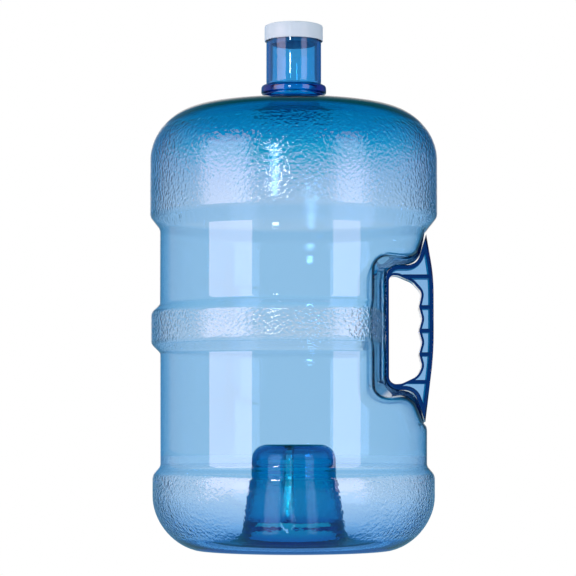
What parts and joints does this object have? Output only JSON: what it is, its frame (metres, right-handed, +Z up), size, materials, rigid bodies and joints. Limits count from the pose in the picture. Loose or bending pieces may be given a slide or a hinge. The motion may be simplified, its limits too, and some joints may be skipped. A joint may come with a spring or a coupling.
{
  "type": "water carboy",
  "caption": "Stackable clear blue water carboy with a moulded-in side grip, a neck socket in its base and a push-on cap",
  "frame": {"origin": "on the bottle's axis, in the plane it stands on", "axes": "+Z up along the bottle's axis, +X towards the grip, the socket's vent flute faces -Y"},
  "size_m": [0.2728, 0.2728, 0.4986],
  "materials": {
    "clear_blue": "clear polycarbonate, tinted blue, gloss with a pebbled texture on three bands",
    "deep_blue": "clear polycarbonate in the same tint, dark where it is thick",
    "cap_white": "satin white polyethylene",
    "liner_foam": "white closed-cell foam"
  },
  "bodies": {
    "bottle_body": {"bottle": "clear_blue", "handle": "deep_blue"},
    "cap_body": {"cap": "cap_white", "cap_liner": "liner_foam"}
  },
  "joints": [
    {"name": "cap_lift", "type": "slide", "parent": "bottle_body", "child": "cap_body", "axis": [0, 0, 1], "range_m": [0, 0.04]}
  ]
}
